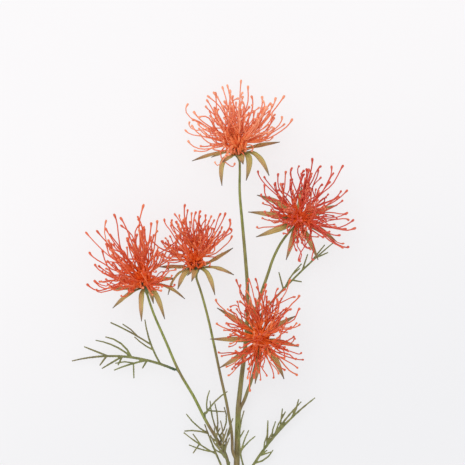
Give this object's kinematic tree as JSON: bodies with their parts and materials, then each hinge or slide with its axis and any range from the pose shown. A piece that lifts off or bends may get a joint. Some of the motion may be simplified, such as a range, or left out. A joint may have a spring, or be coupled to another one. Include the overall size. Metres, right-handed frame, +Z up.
{
  "type": "grevillea flower spray",
  "caption": "Cut spray of spidery grevillea flower heads over whorls of pointed bracts, on slender forking stems with feathery divided leaves.",
  "frame": {"origin": "centre of the footprint, on the surface that the cut spray lies on", "axes": "+Z up from the surface, +Y from the cut end of the main stem towards the flowers, +X to the right seen from above"},
  "size_m": [0.2858, 0.5, 0.0863],
  "materials": {
    "stem": "green stem with brown stretches, satin",
    "leaf": "matt olive leaf with brown tips",
    "bract": "dry veined bract, ochre between green edges",
    "style": "waxy orange-red style, satin"
  },
  "bodies": {
    "root": {"centre_leaf": "leaf", "inner_sprig": "leaf", "left_bract_1": "bract", "left_bract_2": "bract", "left_bract_3": "bract", "left_bract_4": "bract", "left_bract_5": "bract", "left_bract_6": "bract", "left_bract_7": "bract", "left_bract_8": "bract", "left_flower_stem": "stem", "left_leaf": "leaf", "left_sprig": "leaf", "left_styles": "style", "lower_bract_1": "bract", "lower_bract_2": "bract", "lower_bract_3": "bract", "lower_bract_4": "bract", "lower_bract_5": "bract", "lower_bract_6": "bract", "lower_bract_7": "bract", "lower_bract_8": "bract", "lower_flower_stem": "stem", "lower_left_leaf": "leaf", "lower_styles": "style", "main_stem": "stem", "middle_bract_1": "bract", "middle_bract_2": "bract", "middle_bract_3": "bract", "middle_bract_4": "bract", "middle_bract_5": "bract", "middle_bract_6": "bract", "middle_bract_7": "bract", "middle_bract_8": "bract", "middle_flower_stem": "stem", "middle_styles": "style", "right_bract_1": "bract", "right_bract_2": "bract", "right_bract_3": "bract", "right_bract_4": "bract", "right_bract_5": "bract", "right_bract_6": "bract", "right_bract_7": "bract", "right_bract_8": "bract", "right_flower_stem": "stem", "right_leaf": "leaf", "right_sprig": "leaf", "right_styles": "style", "top_bract_1": "bract", "top_bract_2": "bract", "top_bract_3": "bract", "top_bract_4": "bract", "top_bract_5": "bract", "top_bract_6": "bract", "top_bract_7": "bract", "top_bract_8": "bract", "top_flower_stem": "stem", "top_styles": "style", "upper_right_leaf": "leaf"}
  },
  "joints": []
}
